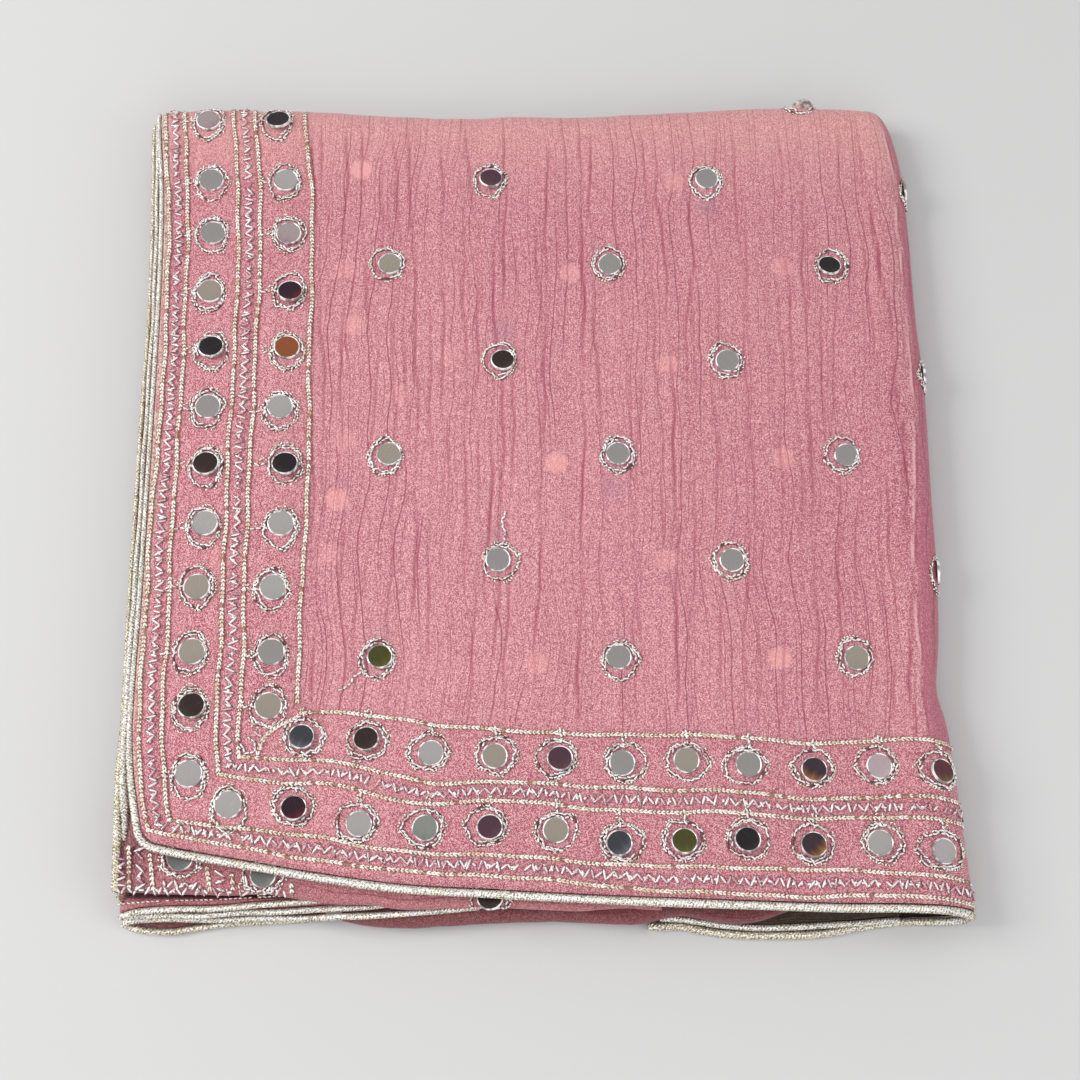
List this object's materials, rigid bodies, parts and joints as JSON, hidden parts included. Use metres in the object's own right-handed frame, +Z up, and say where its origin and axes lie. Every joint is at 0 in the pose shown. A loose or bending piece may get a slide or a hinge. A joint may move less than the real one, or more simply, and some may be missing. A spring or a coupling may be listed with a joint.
{
  "type": "folded dupatta stole",
  "caption": "Long crinkled tissue stole folded into a flat square packet, with twisted metal piping along its edges and a border and field of small round mirrors in gold chain stitch.",
  "frame": {"origin": "middle of the packet's bounding box, on the surface that it lies on", "axes": "+X to the right towards the long fold, +Y to the back fold, away from the piped corner, +Z up through the plies"},
  "size_m": [0.3129, 0.3328, 0.0234],
  "materials": {
    "rose_tissue": "crinkled tissue with a fine metallic sheen",
    "deep_rose_tissue": "the same tissue, in shade between the plies",
    "shaded_plies": "the same tissue, deep between the plies",
    "silver_gold_piping": "twisted metal thread"
  },
  "bodies": {
    "root": {"top_ply": "rose_tissue", "top_ply_piping": "silver_gold_piping", "hidden_plies": "shaded_plies", "second_ply": "rose_tissue", "second_ply_piping": "silver_gold_piping", "third_ply_piping": "silver_gold_piping", "fourth_ply_piping": "silver_gold_piping", "lowest_ply_piping": "silver_gold_piping", "upper_loop": "rose_tissue", "upper_loop_piping": "silver_gold_piping", "lower_loop": "deep_rose_tissue", "lower_loop_piping": "silver_gold_piping", "front_fold": "deep_rose_tissue", "inner_return": "shaded_plies", "inner_return_piping": "silver_gold_piping"}
  },
  "joints": []
}
